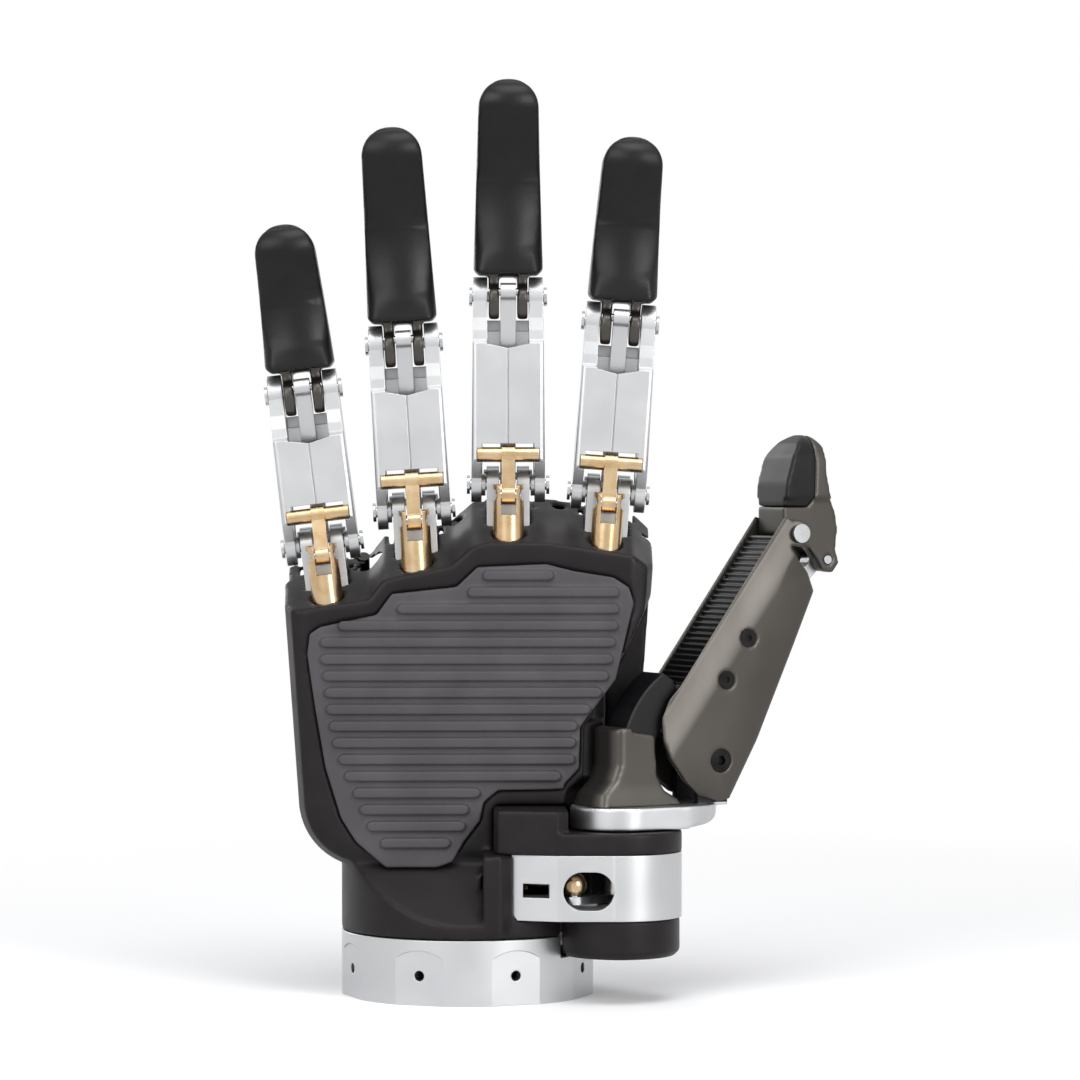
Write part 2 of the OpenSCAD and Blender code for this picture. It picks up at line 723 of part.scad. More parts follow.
module thumb_housing() {
    color(silver) difference() {
        translate([0, 0, housing_z]) linear_extrude(cover_z - housing_z) thumb_base_outline();
        translate([thumb_axis[0], thumb_axis[1], 0]) {
            translate([0, 0, housing_z - 1]) cylinder(h = 30, r = 6.5);
            translate([0, 0, 22.6]) cylinder(h = 7.7, r = 12.3);
        }
        crank_room();
        // Oval window in front of the ball, and the slot beside it
        translate([27.6, -20, ball_z]) rotate([90, 0, 0]) {
            for (side = [-1, 1]) translate([side * 1.4, 0, 0]) cylinder(h = 20, r = 4.4);
            translate([-1.4, -4.4, 0]) cube([2.8, 8.8, 20]);
            translate([-15, -1.6, 0]) cube([6, 3.2, 20]);
        }
    }
}

module thumb_base_cap() {
    color(black_shell) difference() {
        translate([thumb_axis[0], thumb_axis[1], cap_z]) union() {
            translate([0, 0, 1.2]) cylinder(h = housing_z - cap_z - 1.2, r = 14);
            cylinder(h = 1.3, r1 = 12.8, r2 = 14);
        }
        cylinder(h = 60, r = wrist_radius + 0.1);
        translate([thumb_axis[0], thumb_axis[1], 16]) cylinder(h = 10, r = 5);
    }
}

// The raised block of the thumb's base cover, seen from above
module base_block_outline() {
    polygon([[6, -24], [7, -27.5], [20.5, -30.2], [23, -28], [23, -12], [6, -12]]);
}

module thumb_base_cover() {
    color(black_shell) difference() {
        union() {
            translate([0, 0, cover_z]) linear_extrude(yoke_z - gap - cover_z) thumb_base_outline();
            translate([0, 0, cover_z]) linear_extrude(yoke_top - 0.3 - cover_z) base_block_outline();
        }
        translate([thumb_axis[0], thumb_axis[1], cover_z - 1]) cylinder(h = 10, r = 6.5);
        // Dish in which the thumb turns
        translate([thumb_axis[0], thumb_axis[1], yoke_z - gap]) cylinder(h = 20, r = 12.4);
    }
}

module thumb_bearings() {
    color(steel) translate([thumb_axis[0], thumb_axis[1], 0])
        for (z = [housing_z, 31.5]) translate([0, 0, z]) difference() {
            cylinder(h = 3, r = 6.5);
            translate([0, 0, -1]) cylinder(h = 5, r = 4 + fit);
        }
}

module at_thumb() {
    translate([thumb_axis[0], thumb_axis[1], 0]) rotate([0, 0, thumb_turn]) children();
}

// A profile given in (out, up), drawn across the thumb's plane
module across_thumb(s0, s1) {
    at_thumb() translate([0, s1, 0]) rotate([90, 0, 0]) linear_extrude(s1 - s0) children();
}

module thumb_cross_pin(at, radius, s0, s1) {
    across_thumb(s0, s1) translate(at) circle(radius);
}

ball_centre = thumb_axis + ball_reach * [cos(ball_angle), sin(ball_angle)];

module thumb_shaft() {
    color(steel) {
        translate([thumb_axis[0], thumb_axis[1], 17]) cylinder(h = yoke_z - 17, r = 4);
        // Crank arm with the pin of the pull rod
        translate([0, 0, 22.9]) linear_extrude(1.8) bar(thumb_axis, ball_centre, 2.4);
        translate([ball_centre[0], ball_centre[1], 24]) cylinder(h = 5.6, r = 1.2);
    }
}

module thumb_pull_rod() {
    end = ball_centre + rod_span * [cos(rod_heading), sin(rod_heading)];
    color(brass) difference() {
        union() {
            intersection() {
                translate([ball_centre[0], ball_centre[1], ball_z + 0.9]) sphere(2.9);
                translate([ball_centre[0], ball_centre[1], 25]) cylinder(h = 4.8, r = 4);
            }
            translate([ball_centre[0], ball_centre[1], ball_z + 0.9]) rotate([0, 0, rod_heading])
                rotate([0, 90, 0]) cylinder(h = rod_span, r = 1.1);
            translate([end[0], end[1], 25.4]) cylinder(h = 3.6, r = 2);
        }
        translate([ball_centre[0], ball_centre[1], 20]) cylinder(h = 12, r = 1.2 + fit);
    }
}

module thumb_yoke() {
    color(silver) difference() {
        union() {
            at_thumb() translate([0, 0, yoke_z]) linear_extrude(yoke_top - yoke_z) {
                bar([0, 0], [12, 0], 11.3);
                bar([0, 0], [15.5, 0], 9);
            }
            for (side = [0, 1]) at_thumb() mirror([0, side, 0]) translate([0, cheek_out, 0]) rotate([90, 0, 0])
                linear_extrude(cheek_out - cheek_in) {
                    translate([thumb_pivot[0] - 5, yoke_top - 1]) square([8, 8]);
                    translate(thumb_pivot) circle(5);
                    bar(thumb_pivot, thumb_link_base, 2.6);
                }
        }
        thumb_cross_pin(thumb_pivot, 1.5 + fit, -9, 9);
        thumb_cross_pin(thumb_link_base, 1, -9, 9);
    }
    // Pin of the coupler link, held in both cheeks
    color(silver) thumb_cross_pin(thumb_link_base, 1, -cheek_out, cheek_out);
}

module thumb_cowl() {
    outer = [[-3.4, 63.2], [-4.3, 62.6], [-4.3, 54.5], [-5.6, 51], [-8.6, 48], [-9.4, yoke_top]];
    inner = arc(thumb_pivot, drum_radius + 0.5, 203, 161, 10);
    color(black_shell) across_thumb(-cheek_out, cheek_out) polygon(concat(outer, [[2, yoke_top]], inner));
    // Side walls of the cowl
    color(black_shell) for (side = [0, 1]) at_thumb() mirror([0, side, 0]) translate([0, cheek_out, 0])
        rotate([90, 0, 0]) linear_extrude(1)
            polygon([[-3.5, 62.8], [-3.5, yoke_top], [12.6, yoke_top], [12, 46.6], [8.6, 48.5],
                [6.6, 52], [6.1, 61.4]]);
}

// ---------- thumb ----------

// Outline of the thumb's shell in its plane
module thumb_shell_outline() {
    polygon([[9, 56], [13.3, 50.3], [17, 47.2], [22.5, 45.5], [25.5, 46], [33, 59.5], [43, 81.5],
        [48.5, 94], [47, 98], [44, 101], [41.4, 105], [41.2, 109.2], [42.4, 110.6], [40.6, 111.5],
        [12.4, 72.4], [9.6, 69.4], [7.6, 65], [7.6, 60]]);
    translate(thumb_knuckle) circle(3.1);
}

module thumb_shell() {
    color(gunmetal) difference() {
        across_thumb(-thumb_half, thumb_half) thumb_shell_outline();
        // Hollow for the yoke, the link and the tip's tail
        across_thumb(-6.5, 6.5) polygon([[0, 40], [24, 40], [30.8, 60], [40.8, 82], [44.4, 90],
            [56, 90], [56, 112], [40, 118], [36, 105.5], [12, 72], [0, 70]]);
        thumb_cross_pin(thumb_pivot, 1.5, -12, 12);
        thumb_cross_pin(thumb_knuckle, pin_radius + fit, -12, 12);
        for (s = [-12, thumb_half - 0.8]) thumb_cross_pin(thumb_pivot, 2.7, s, s + 12 - thumb_half + 0.8);
        for (p = thumb_screw_places) for (s = [-12, thumb_half - 0.8])
            thumb_cross_pin(p, 2.1, s, s + 12 - thumb_half + 0.8);
    }
}

thumb_screw_places = [[24, 73.7], [29.9, 83.3]];

// Ribbed rubber along the inner side, ending in a smooth drum over the pivot
module thumb_grip() {
    rib_count = 15;
    color(rubber) difference() {
        union() {
            across_thumb(-6.4, 6.4) polygon([[12.6, 71.8], [16, 70], [41.5, 104.6], [38.6, 107.2]]);
            across_thumb(-4.8, 4.8) polygon(concat(arc(thumb_pivot, drum_radius, 120, 165, 12),
                arc(thumb_pivot, drum_radius - 8.5, 165, 120, 6)));
            across_thumb(-4.8, 4.8) polygon([[11.2, 71], [14.5, 68], [20, 74], [15.5, 77]]);
        }
        for (k = [0:rib_count - 1]) {
            t = 0.06 + 0.88 * k / (rib_count - 1);
            thumb_cross_pin([12.6 + 26 * t, 71.8 + 35.4 * t], 0.4, -9, 9);
        }
    }
}

module thumb_screws() {
    color(steel) for (p = thumb_screw_places) for (side = [0, 1]) at_thumb() mirror([0, side, 0])
        translate([p[0], thumb_half - 0.8, p[1]]) rotate([-90, 0, 0]) difference() {
            cylinder(h = 0.6, r = 2.1);
            translate([0, 0, 0.2]) cylinder(h = 1, r = 0.8, $fn = 6);
        }
}

module thumb_pivot_pin() {
    color(steel) difference() {
        union() {
            thumb_cross_pin(thumb_pivot, 1.5, -thumb_half + 0.8, thumb_half - 0.8);
            for (side = [0, 1]) at_thumb() mirror([0, side, 0])
                translate([thumb_pivot[0], thumb_half - 0.8, thumb_pivot[1]]) rotate([-90, 0, 0])
                    cylinder(h = 0.6, r = 2.7);
        }
        for (side = [0, 1]) at_thumb() mirror([0, side, 0])
            translate([thumb_pivot[0], thumb_half - 1.4, thumb_pivot[1]]) rotate([-90, 0, 0])
                cylinder(h = 3, r = 1.2, $fn = 6);
    }
}

// Outline of the thumb tip in its plane, from its own joint
module thumb_tip_outline() {
    polygon([[-2.8, 0], [-1.6, -2.3], [1, -2.8], [4, -3.4], [6.4, -6.4], [8, -9], [10.6, -9.4],
        [12.4, -7], [11.4, -4], [11.9, 1], [11.4, 4.6], [9.4, 9.4], [8.4, 14.4], [8, 20.6],
        [6.4, 22.9], [4.4, 23.2], [1.9, 21.4], [-0.7, 17.9], [-2.5, 11.8], [-2.9, 5.7]]);
}

module at_thumb_tip() {
    at_thumb() translate([thumb_knuckle[0], 0, thumb_knuckle[1]]) children();
}

module tip_across(s0, s1) {
    at_thumb_tip() translate([0, s1, 0]) rotate([90, 0, 0]) linear_extrude(s1 - s0) children();
}

// Front view of the thumb tip: wide above the joint, rounded at the end
module thumb_tip_front() {
    half = 7;
    at_thumb_tip() translate([-20, 0, 0]) rotate([90, 0, 90]) linear_extrude(60) {
        translate([0, 23.3 - half]) circle(half);
        translate([-half, 8]) square([2 * half, 23.3 - half - 8]);
        translate([-6.1, -12]) square([12.2, 21]);
    }
}

module tip_pad_region() {
    tip_across(-12, 12) polygon([[-12, 6.2], [3.4, 6.2], [5, 8], [5.2, 14], [5.6, 30], [-12, 30]]);
}

module thumb_tip_shell() {
    color(gunmetal) difference() {
        intersection() {
            tip_across(-8, 8) thumb_tip_outline();
            thumb_tip_front();
        }
        tip_pad_region();
        // Slot for the link in the tail
        tip_across(-2.4, 2.4) polygon([[3.4, -14], [16, -14], [16, -1.2], [7, -1.2], [3.4, -3]]);
        thumb_cross_pin(thumb_knuckle, pin_radius, -12, 12);
        thumb_cross_pin(thumb_link_tip, 1, -12, 12);
    }
}

module thumb_tip_pad() {
    color(rubber) intersection() {
        tip_across(-8, 8) thumb_tip_outline();
        thumb_tip_front();
        tip_pad_region();
    }
}

module thumb_tip_pins() {
    color(steel) {
        thumb_cross_pin(thumb_knuckle, pin_radius, -thumb_half - gap, thumb_half + gap);
        for (side = [0, 1]) at_thumb_tip() mirror([0, side, 0])
            translate([0, thumb_half + gap, 0]) rotate([-90, 0, 0]) cylinder(h = head_height, r = head_radius);
        thumb_cross_pin(thumb_link_tip, 1, -6.1, 6.1);
    }
}

// The link that couples the thumb tip to the pivot
module thumb_link() {
    color(silver) difference() {
        across_thumb(-2, 2) {
            bar(thumb_link_base, thumb_link_tip, 1.5);
            translate(thumb_link_base) circle(2.2);
            bar(thumb_link_tip, thumb_link_tip - [0.5, 0.5], 2.3);
        }
        thumb_cross_pin(thumb_link_base, 1 + fit, -4, 4);
        across_thumb(-4, 4) bar(thumb_link_tip, thumb_link_tip - [0.5, 0.5], 1.45);
    }
}

// ---------- the parts ----------

palm_frame();
back_cover();
palm_pad();
wrist_ring();
connector_housing();
connector_contacts();
cover_screws();
finger_actuators();
thumb_actuator();
control_board();
knuckle_brackets();
knuckle_pins();
proximal(0);  // index_proximal
coupler_link(0);  // index_coupler_link
drive_link(0);  // index_drive_link
drive_pin(0);  // index_drive_pin
push_rod(0);  // index_push_rod
distal_shell(0);  // index_distal_shell
fingertip_pad(0);  // index_fingertip_pad
joint_pins(0);  // index_joint_pins
proximal(1);  // middle_proximal
coupler_link(1);  // middle_coupler_link
drive_link(1);  // middle_drive_link
drive_pin(1);  // middle_drive_pin
push_rod(1);  // middle_push_rod
distal_shell(1);  // middle_distal_shell
fingertip_pad(1);  // middle_fingertip_pad
joint_pins(1);  // middle_joint_pins
proximal(2);  // ring_proximal
coupler_link(2);  // ring_coupler_link
drive_link(2);  // ring_drive_link
drive_pin(2);  // ring_drive_pin
push_rod(2);  // ring_push_rod
distal_shell(2);  // ring_distal_shell
fingertip_pad(2);  // ring_fingertip_pad
joint_pins(2);  // ring_joint_pins
proximal(3);  // little_proximal
coupler_link(3);  // little_coupler_link
drive_link(3);  // little_drive_link
drive_pin(3);  // little_drive_pin
push_rod(3);  // little_push_rod
distal_shell(3);  // little_distal_shell
fingertip_pad(3);  // little_fingertip_pad
joint_pins(3);  // little_joint_pins
thumb_housing();
thumb_base_cap();
thumb_base_cover();
thumb_bearings();
thumb_shaft();
thumb_yoke();
thumb_cowl();
thumb_pull_rod();
thumb_shell();
thumb_grip();
thumb_screws();
thumb_pivot_pin();
thumb_tip_shell();
thumb_tip_pad();
thumb_tip_pins();
thumb_link();
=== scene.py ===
import json
import math
import bpy
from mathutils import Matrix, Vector


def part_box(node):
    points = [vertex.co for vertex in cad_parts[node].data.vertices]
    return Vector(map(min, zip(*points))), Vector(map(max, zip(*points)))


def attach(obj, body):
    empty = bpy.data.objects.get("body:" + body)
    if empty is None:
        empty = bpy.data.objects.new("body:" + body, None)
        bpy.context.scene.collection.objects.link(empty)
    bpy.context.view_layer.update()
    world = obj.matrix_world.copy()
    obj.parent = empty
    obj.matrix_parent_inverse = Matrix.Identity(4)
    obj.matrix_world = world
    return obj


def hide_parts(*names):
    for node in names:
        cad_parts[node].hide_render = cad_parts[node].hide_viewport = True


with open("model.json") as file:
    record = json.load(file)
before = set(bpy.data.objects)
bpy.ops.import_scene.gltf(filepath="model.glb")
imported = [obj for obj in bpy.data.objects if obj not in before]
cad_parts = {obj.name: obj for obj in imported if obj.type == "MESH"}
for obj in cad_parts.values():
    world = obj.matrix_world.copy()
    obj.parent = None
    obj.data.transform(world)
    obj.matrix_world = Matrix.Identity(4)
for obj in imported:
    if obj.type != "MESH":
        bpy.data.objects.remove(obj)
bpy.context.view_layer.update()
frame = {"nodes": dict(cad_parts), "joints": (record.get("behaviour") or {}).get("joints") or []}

MM = 0.001
FINGERS = ["index", "middle", "ring", "little"]


# ---------- Palm frame ----------
# The stiff body of the hand: one moulding in glass-filled nylon that carries the
# knuckle brackets, the drives and the thumb housing. Its skin is satin near-black,
# and the mould leaves small radii on every edge.

def linear(hex_colour):
    """sRGB hex to the linear colour that a shader socket takes."""
    parts = [int(hex_colour[i:i + 2], 16) / 255 for i in (1, 3, 5)]
    return [c / 12.92 if c <= 0.04045 else ((c + 0.055) / 1.055) ** 2.4 for c in parts] + [1.0]


def add_node(material, kind, settings=None, links=None):
    """One node with its settings, and links from other nodes' outputs to its inputs."""
    node = material.node_tree.nodes.new(kind)
    for key, value in (settings or {}).items():
        if key.startswith("in:"):
            node.inputs[key[3:]].default_value = value
        else:
            setattr(node, key, value)
    for name, socket in (links or {}).items():
        material.node_tree.links.new(socket, node.inputs[name])
    return node


def start_material(name, roughness, metallic=0.0, ior=1.5, specular=0.5):
    """A material with one Principled shader, whose plain values sit on its own sockets."""
    material = bpy.data.materials.new(name)
    material.use_nodes = True
    shader = material.node_tree.nodes["Principled BSDF"]
    shader.inputs["Roughness"].default_value = roughness
    shader.inputs["Metallic"].default_value = metallic
    shader.inputs["IOR"].default_value = ior
    shader.inputs["Specular IOR Level"].default_value = specular
    return material, shader


def add_tone(material, shader, dark, light, patch_mm):
    """The colour drifts between two near tones, in patches of that size."""
    place = add_node(material, "ShaderNodeTexCoord")
    patch = add_node(material, "ShaderNodeTexNoise", {"in:Scale": 1 / (patch_mm * MM), "in:Detail": 3.0},
                     {"Vector": place.outputs["Object"]})
    ramp = add_node(material, "ShaderNodeValToRGB", {}, {"Fac": patch.outputs["Fac"]})
    ramp.color_ramp.elements[0].position, ramp.color_ramp.elements[1].position = 0.35, 0.65
    ramp.color_ramp.elements[0].color, ramp.color_ramp.elements[1].color = linear(dark), linear(light)
    material.node_tree.links.new(ramp.outputs["Color"], shader.inputs["Base Color"])


DRIFT_MM = 9             # size of the patches in which a surface's roughness drifts


def add_grain(material, shader, size_mm, depth_mm, rough_low, rough_high, edge_mm=0.0, stretch=(1, 1, 1)):
    """A fine cast or blasted grain: bump of that depth, and a roughness that drifts between two values.

    edge_mm, where given, breaks the sharp edges of a plain solid; stretch draws the grain into streaks."""
    place = add_node(material, "ShaderNodeTexCoord")
    turn = add_node(material, "ShaderNodeMapping", {"in:Scale": stretch}, {"Vector": place.outputs["Object"]})
    grain = add_node(material, "ShaderNodeTexNoise", {"in:Scale": 1 / (size_mm * MM), "in:Detail": 3.0},
                     {"Vector": turn.outputs["Vector"]})
    drift = add_node(material, "ShaderNodeTexNoise", {"in:Scale": 1 / (DRIFT_MM * MM), "in:Detail": 5.0},
                     {"Vector": turn.outputs["Vector"]})
    rough = add_node(material, "ShaderNodeMapRange", {"in:From Min": 0.3, "in:From Max": 0.7,
                     "in:To Min": rough_low, "in:To Max": rough_high}, {"Value": drift.outputs["Fac"]})
    material.node_tree.links.new(rough.outputs["Result"], shader.inputs["Roughness"])
    bump = add_node(material, "ShaderNodeBump", {"in:Strength": 0.5, "in:Distance": depth_mm * MM},
                    {"Height": grain.outputs["Fac"]})
    if edge_mm:
        edge = add_node(material, "ShaderNodeBevel", {"samples": 4, "in:Radius": edge_mm * MM})
        material.node_tree.links.new(edge.outputs["Normal"], bump.inputs["Normal"])
    material.node_tree.links.new(bump.outputs["Normal"], shader.inputs["Normal"])


def dress(node_name, material):
    """Gives a CAD node or a new piece its material."""
    piece = frame["nodes"].get(node_name) or bpy.data.objects[node_name]
    piece.data.materials.clear()
    piece.data.materials.append(material)


def select_only(piece):
    """Makes a piece the one that operators act on."""
    bpy.ops.object.select_all(action="DESELECT")
    piece.select_set(True)
    bpy.context.view_layer.objects.active = piece


def apply_modifier(piece, kind, **settings):
    """Adds a modifier with its settings and applies it."""
    select_only(piece)
    modifier = piece.modifiers.new(kind.title(), kind)
    for key, value in settings.items():
        setattr(modifier, key, value)
    bpy.ops.object.modifier_apply(modifier=modifier.name)


def soften(node_name, body, piece_name, voxel_mm, passes, carve=None):
    """Copies a plain solid and rounds its edges as a mould does: merged, rebuilt in an even net, smoothed.

    carve, where given, then moves each point, in millimetres, and half of the smoothing is done again."""
    source = frame["nodes"][node_name]
    piece = bpy.data.objects.new(piece_name, source.data.copy())
    bpy.context.scene.collection.objects.link(piece)
    select_only(piece)
    bpy.ops.object.mode_set(mode="EDIT")
    bpy.ops.mesh.select_all(action="SELECT")
    bpy.ops.mesh.remove_doubles(threshold=0.002 * MM)
    bpy.ops.object.mode_set(mode="OBJECT")
    apply_modifier(piece, "REMESH", mode="VOXEL", voxel_size=voxel_mm * MM, adaptivity=0.0)
    apply_modifier(piece, "SMOOTH", factor=0.5, iterations=passes)
    if carve:
        for vertex in piece.data.vertices:
            vertex.co = carve(vertex.co / MM) * MM
        apply_modifier(piece, "SMOOTH", factor=0.5, iterations=passes // 2)
    select_only(piece)
    bpy.ops.object.shade_smooth()
    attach(piece, body)
    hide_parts(node_name)
    return piece


# Satin moulded skin: a near-black with a fine even grain and a soft sheen, no mirror.
black_nylon, shader = start_material("black glass-filled nylon, moulded", 0.42, ior=1.36, specular=0.32)
add_tone(black_nylon, shader, "#141113", "#1a1618", patch_mm=7)
add_grain(black_nylon, shader, size_mm=0.45, depth_mm=0.02, rough_low=0.38, rough_high=0.48)
palm_frame = soften("palm_frame", "palm", "palm_body_moulding", voxel_mm=0.62, passes=5)
dress("palm_body_moulding", black_nylon)


# ---------- Back cover ----------
# The cover over the back of the hand, a thin machined aluminium shell with dark grey
# anodising. Its ridge runs softly out of the round neck into the flat back.

# Brushed along the hand before the anodising: fine streaks that spread the shine sideways.
gunmetal_anodised, shader = start_material("anodised aluminium, dark grey, fine brushed", 0.38, 0.88)
add_tone(gunmetal_anodised, shader, "#4a4743", "#4f4c48", patch_mm=16)
add_grain(gunmetal_anodised, shader, size_mm=0.3, depth_mm=0.004, rough_low=0.36, rough_high=0.42,
          stretch=(1, 1, 0.05))
back_cover = soften("back_cover", "palm", "back_cover_shell", voxel_mm=0.6, passes=22)
dress("back_cover_shell", gunmetal_anodised)


# ---------- Palm pad ----------
# A ribbed sheet of grey-black silicone rubber glued into a shallow seat in the palm.
# It was pressed in a mould, so the ribs are round-backed and the skin is matt.

# Matt rubber with a dry bloom: the grey lifts a little in soft patches.
silicone_grey, shader = start_material("silicone rubber, grey-black, moulded", 0.58, ior=1.4)
add_tone(silicone_grey, shader, "#39373a", "#424043", patch_mm=14)
add_grain(silicone_grey, shader, size_mm=0.35, depth_mm=0.02, rough_low=0.52, rough_high=0.64)
palm_pad = soften("palm_pad", "palm", "palm_grip_pad", voxel_mm=0.35, passes=5)
dress("palm_grip_pad", silicone_grey)


# ---------- Wrist ring, brackets and proximal pieces ----------
# Milled aluminium, blasted with fine beads and clear anodised: a soft even silver
# with a trace of grain, and a small broken edge that catches the light.

# Bead blasting scatters the light: a pale silver with broad soft highlights and no sharp reflection.
blasted_aluminium, shader = start_material("bead-blasted aluminium, clear anodised", 0.36, 1.0)
add_tone(blasted_aluminium, shader, "#bbbcbe", "#c0c1c2", patch_mm=18)
add_grain(blasted_aluminium, shader, size_mm=0.25, depth_mm=0.01, rough_low=0.34, rough_high=0.4, edge_mm=0.3)
for node_name in ["wrist_ring", "knuckle_brackets", "thumb_housing", "thumb_link"]:
    dress(node_name, blasted_aluminium)
for finger in FINGERS:
    dress(finger + "_proximal", blasted_aluminium)
    dress(finger + "_coupler_link", blasted_aluminium)


# ---------- Brass push rods, crossbars and ball ----------
# Turned from free-cutting brass and left bare. Each rod slides out of the palm and
# pushes a crossbar on its finger; the thumb's rod ends in a ball. The plug's contacts
# have the same finish.

# Bright and pale, a little uneven in tone where it has been handled, with small tool marks.
turned_brass, shader = start_material("free-cutting brass, turned", 0.24, 1.0)
add_tone(turned_brass, shader, "#bfa27a", "#cbb391", patch_mm=3)
add_grain(turned_brass, shader, size_mm=0.4, depth_mm=0.008, rough_low=0.2, rough_high=0.32, edge_mm=0.15)
for finger in FINGERS:
    dress(finger + "_push_rod", turned_brass)
    dress(finger + "_drive_link", turned_brass)
dress("thumb_pull_rod", turned_brass)
dress("connector_contacts", turned_brass)


# ---------- Steel pins, screws and bearings ----------
# Pins, shaft and bearings are ground stainless steel, pressed into their bores. The
# thumb's screws and pivot are black oxide steel, and the cover's screws are grey.

# Smooth and bright, so a pin's end shows as a small light disc with a thin broken edge.
ground_steel, shader = start_material("stainless steel, ground", 0.25, 1.0)
add_tone(ground_steel, shader, "#b9bbbd", "#c6c8ca", patch_mm=4)
add_grain(ground_steel, shader, size_mm=0.5, depth_mm=0.005, rough_low=0.2, rough_high=0.3, edge_mm=0.15)
for node_name in ["knuckle_pins", "thumb_bearings", "thumb_shaft", "thumb_tip_pins"]:
    dress(node_name, ground_steel)
for finger in FINGERS:
    dress(finger + "_drive_pin", ground_steel)
    dress(finger + "_joint_pins", ground_steel)
dress("cover_screws", gunmetal_anodised)

# Oiled black oxide: a dark satin with a small sharp glint on each head.
oxide_steel, shader = start_material("steel, black oxide", 0.3, 0.9)
add_tone(oxide_steel, shader, "#1b1a1b", "#262425", patch_mm=3)
add_grain(oxide_steel, shader, size_mm=0.4, depth_mm=0.01, rough_low=0.26, rough_high=0.38, edge_mm=0.15)
for node_name in ["thumb_screws", "thumb_pivot_pin"]:
    dress(node_name, oxide_steel)


# ---------- Fingertips ----------
# Each fingertip is a dark anodised shell round the back and sides with a black
# rubber pad moulded over its whole front. The rubber has a fine leathery grain.
# The upper part of the shell's back, past its bend, is painted black as painted
# shade: it is the same anodised shell there, dark only where it faces away from the light.

TIP_HALF_WIDTH = 8.1     # of a fingertip at the middle joint, in mm
TIP_FRONT = 7.2          # from the joint's axis to the front of the pad
TIP_ROUNDING = 2.4       # how far the pad's front falls back at its sides
ROUNDING_MOST = 1.2      # times that, where the pad is wider than at the joint
ROUNDING_START = 6       # height above the joint at which the rounding sets in
ROUNDING_RISE = 6        # height over which it grows to its full size
BEND_SHARE = 0.552       # of a fingertip's length at which it bends towards the palm
BEND_DROP = 0.5          # how far below that the middle of the curve lies
BEND_FILL = 1.5          # how far the bend is drawn towards the palm, to make one smooth curve
BEND_REACH = 10          # length to each side over which it is drawn
PAINTED_SHADE_SHARE = 0.60        # of a fingertip's length at which the painted shade on its back begins
PAINTED_SHADE_SLOPE = 0.18        # by which the painted shade's edge falls towards the back


def clamp(share):
    return min(1.0, max(0.0, share))


def middle_joint(finger):
    return next(j for j in frame["joints"] if j["name"] == finger + "_middle_joint")


def round_the_front(finger):
    """A carve that lets the front of a fingertip fall back towards its sides, as a finger's does,
    and turns its bend into a curve."""
    joint = middle_joint(finger)
    centre, across = Vector(joint["pos_m"]) / MM, Vector(joint["axis"]).normalized()
    bend = BEND_SHARE * (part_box(finger + "_fingertip_pad")[1][2] / MM - centre.z) - BEND_DROP

    def carve(point):
        side = (point - centre).dot(across) / TIP_HALF_WIDTH
        depth = clamp(-(point - centre).y / TIP_FRONT)
        height = (point - centre).z
        blend = clamp((height - ROUNDING_START) / ROUNDING_RISE)
        curve = max(0.0, 1 - abs(height - bend) / BEND_REACH) ** 2
        back = TIP_ROUNDING * min(ROUNDING_MOST, side * side) * depth * blend
        return point + Vector((0, back - BEND_FILL * curve, 0))
    return carve


def two_tone(piece, place, upwards, material):
    """Gives the side of a piece beyond a plane a second finish, with a clean seam along the plane."""
    select_only(piece)
    bpy.ops.object.mode_set(mode="EDIT")
    bpy.ops.mesh.select_all(action="SELECT")
    bpy.ops.mesh.bisect(plane_co=place, plane_no=upwards)
    bpy.ops.object.mode_set(mode="OBJECT")
    piece.data.materials.append(material)
    for face in piece.data.polygons:
        if (face.center - place).dot(upwards) > 0:
            face.material_index = 1


# Nitrile rubber moulded on an etched tool: deep black, half matt, grained like fine leather. It also serves
# as painted shade on the upper back of each fingertip shell.
nitrile_black_and_painted_shade, shader = start_material("nitrile rubber, black, fine grained", 0.38, ior=1.4, specular=0.36)
add_tone(nitrile_black_and_painted_shade, shader, "#08070a", "#0d0c0e", patch_mm=5)
add_grain(nitrile_black_and_painted_shade, shader, size_mm=0.5, depth_mm=0.04, rough_low=0.34, rough_high=0.44)
for finger in FINGERS:
    shell = soften(finger + "_distal_shell", finger + "_distal", finger + "_tip_shell",
                   voxel_mm=0.35, passes=8, carve=round_the_front(finger))
    dress(shell.name, gunmetal_anodised)
    # Painted shade: the upper back of each shell takes the black rubber finish, though it is the same
    # anodised shell.
    foot, top = middle_joint(finger)["pos_m"][2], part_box(finger + "_distal_shell")[1][2]
    painted_shade_height = foot + PAINTED_SHADE_SHARE * (top - foot)
    two_tone(shell, Vector((0, 0, painted_shade_height)), Vector((0, PAINTED_SHADE_SLOPE, 1)), nitrile_black_and_painted_shade)
    pad = soften(finger + "_fingertip_pad", finger + "_distal", finger + "_tip_pad",
                 voxel_mm=0.35, passes=8, carve=round_the_front(finger))
    dress(pad.name, nitrile_black_and_painted_shade)


# ---------- Thumb base ----------
# A black nylon saddle covers the silver housing, and a black cap closes it below.
# Above them a milled yoke plate turns with the thumb and carries the cowl.

